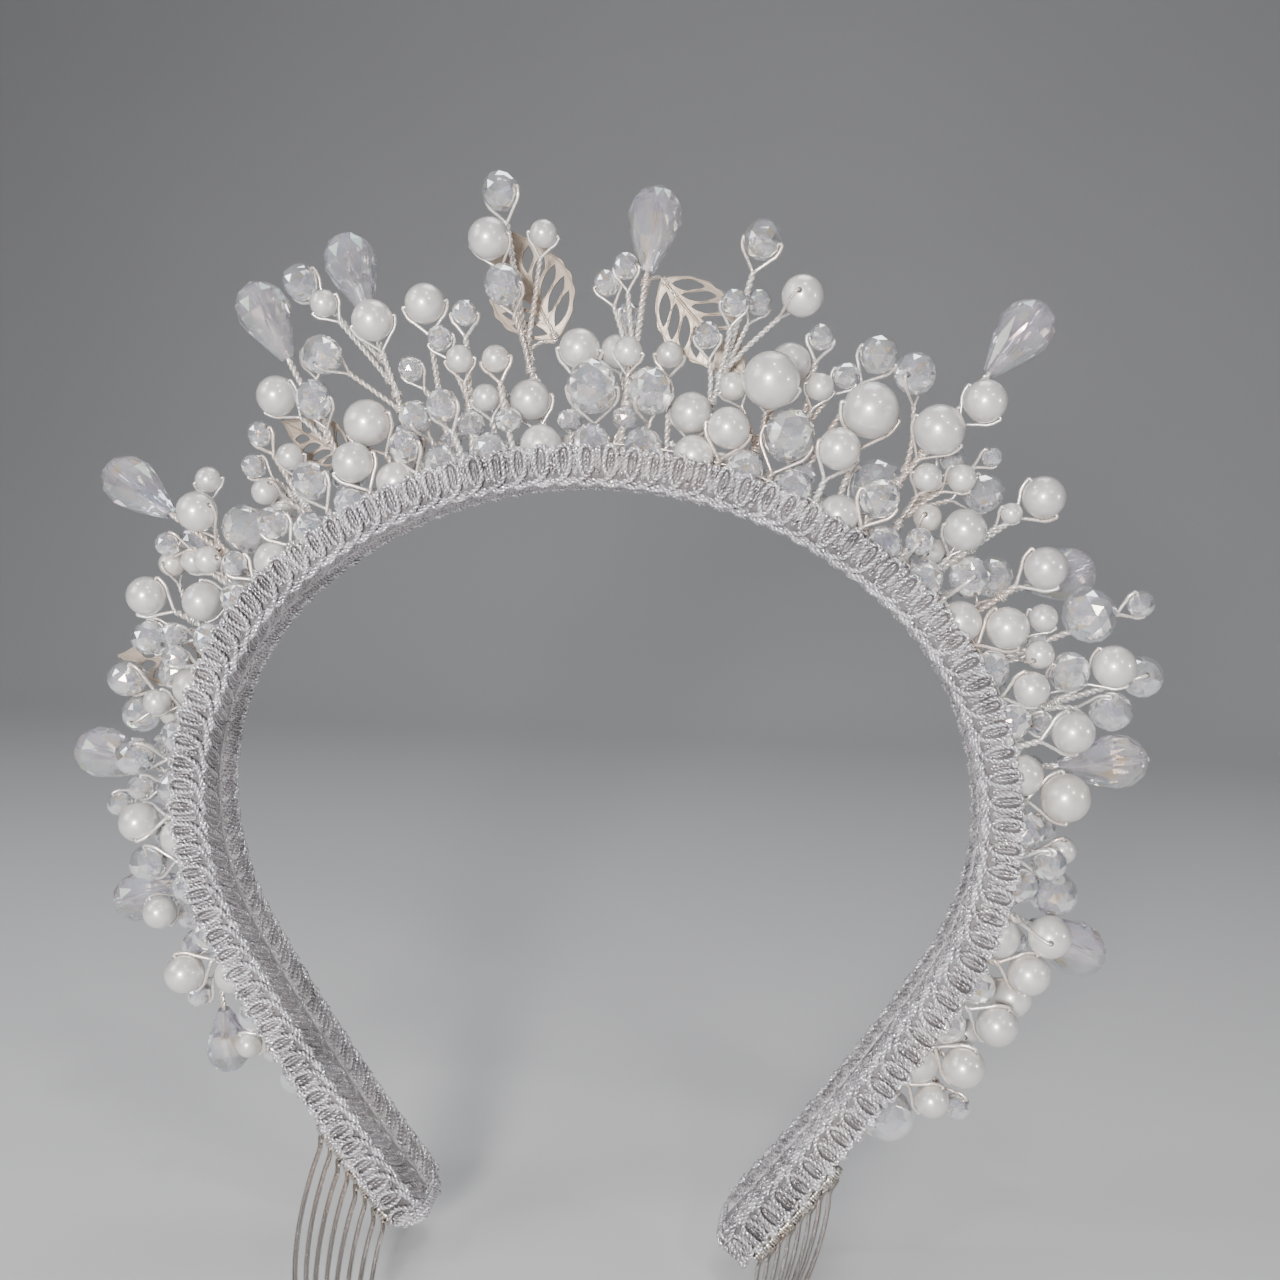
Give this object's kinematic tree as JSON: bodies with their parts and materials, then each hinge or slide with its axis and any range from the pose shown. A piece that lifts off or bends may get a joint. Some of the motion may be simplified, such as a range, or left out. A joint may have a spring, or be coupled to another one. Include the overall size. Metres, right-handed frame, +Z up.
{
  "type": "bridal tiara",
  "caption": "Braided headband tiara with wired sprays of pearls, faceted crystals, teardrops and openwork leaves, and a wire comb at each tip.",
  "frame": {"origin": "on the head-side face of the band at its apex, midway across the band's width", "axes": "+Z up from the crown, +Y towards the wearer's face across the band's width, +X from the wearer's left ear to the right as seen from behind"},
  "size_m": [0.1628, 0.0503, 0.1621],
  "materials": {
    "spring_steel": "blued spring strip, hidden inside the padding",
    "padding": "matte satin ribbon over foam",
    "braid": "looped silver metallic thread",
    "cap_braid": "gathered silver metallic thread",
    "comb_ribbon": "folded satin ribbon",
    "comb_wire": "polished silver wire",
    "leaf": "rose-champagne plated, etched",
    "pearl": "satin pearl lacquer",
    "crystal": "faceted, with an iridescent coating",
    "drop": "long facets, with an iridescent coating",
    "craft_wire": "twisted fine wire, silver to rose-champagne"
  },
  "bodies": {
    "root": {"band_strip": "spring_steel", "band_padding": "padding", "braid_rear": "braid", "braid_front": "braid", "tip_cap_left": "cap_braid", "tip_cap_right": "cap_braid", "comb_pad_left": "comb_ribbon", "comb_pad_right": "comb_ribbon", "comb_rail_left": "comb_wire", "comb_rail_right": "comb_wire", "comb_teeth_left": "comb_wire", "comb_teeth_right": "comb_wire", "comb_winding_left": "comb_wire", "comb_winding_right": "comb_wire", "base_pearls_rear": "pearl", "base_crystals_rear": "crystal", "base_pearls_front": "pearl", "base_crystals_front": "crystal", "leaf_left": "leaf", "leaf_right": "leaf", "leaf_small": "leaf", "leaf_side": "leaf", "left_low_wires": "craft_wire", "left_low_pearls": "pearl", "left_low_crystals": "crystal", "left_low_drops": "drop", "left_side_wires": "craft_wire", "left_side_pearls": "pearl", "left_side_crystals": "crystal", "left_side_drops": "drop", "left_upper_wires": "craft_wire", "left_upper_pearls": "pearl", "left_upper_crystals": "crystal", "left_upper_drops": "drop", "left_crown_wires": "craft_wire", "left_crown_pearls": "pearl", "left_crown_crystals": "crystal", "left_crown_drops": "drop", "centre_wires": "craft_wire", "centre_pearls": "pearl", "centre_crystals": "crystal", "centre_drops": "drop", "right_crown_wires": "craft_wire", "right_crown_pearls": "pearl", "right_crown_crystals": "crystal", "right_crown_drops": "drop", "right_upper_wires": "craft_wire", "right_upper_pearls": "pearl", "right_upper_crystals": "crystal", "right_upper_drops": "drop", "right_side_wires": "craft_wire", "right_side_pearls": "pearl", "right_side_crystals": "crystal", "right_side_drops": "drop", "right_low_wires": "craft_wire", "right_low_pearls": "pearl", "right_low_crystals": "crystal", "right_low_drops": "drop"}
  },
  "joints": []
}
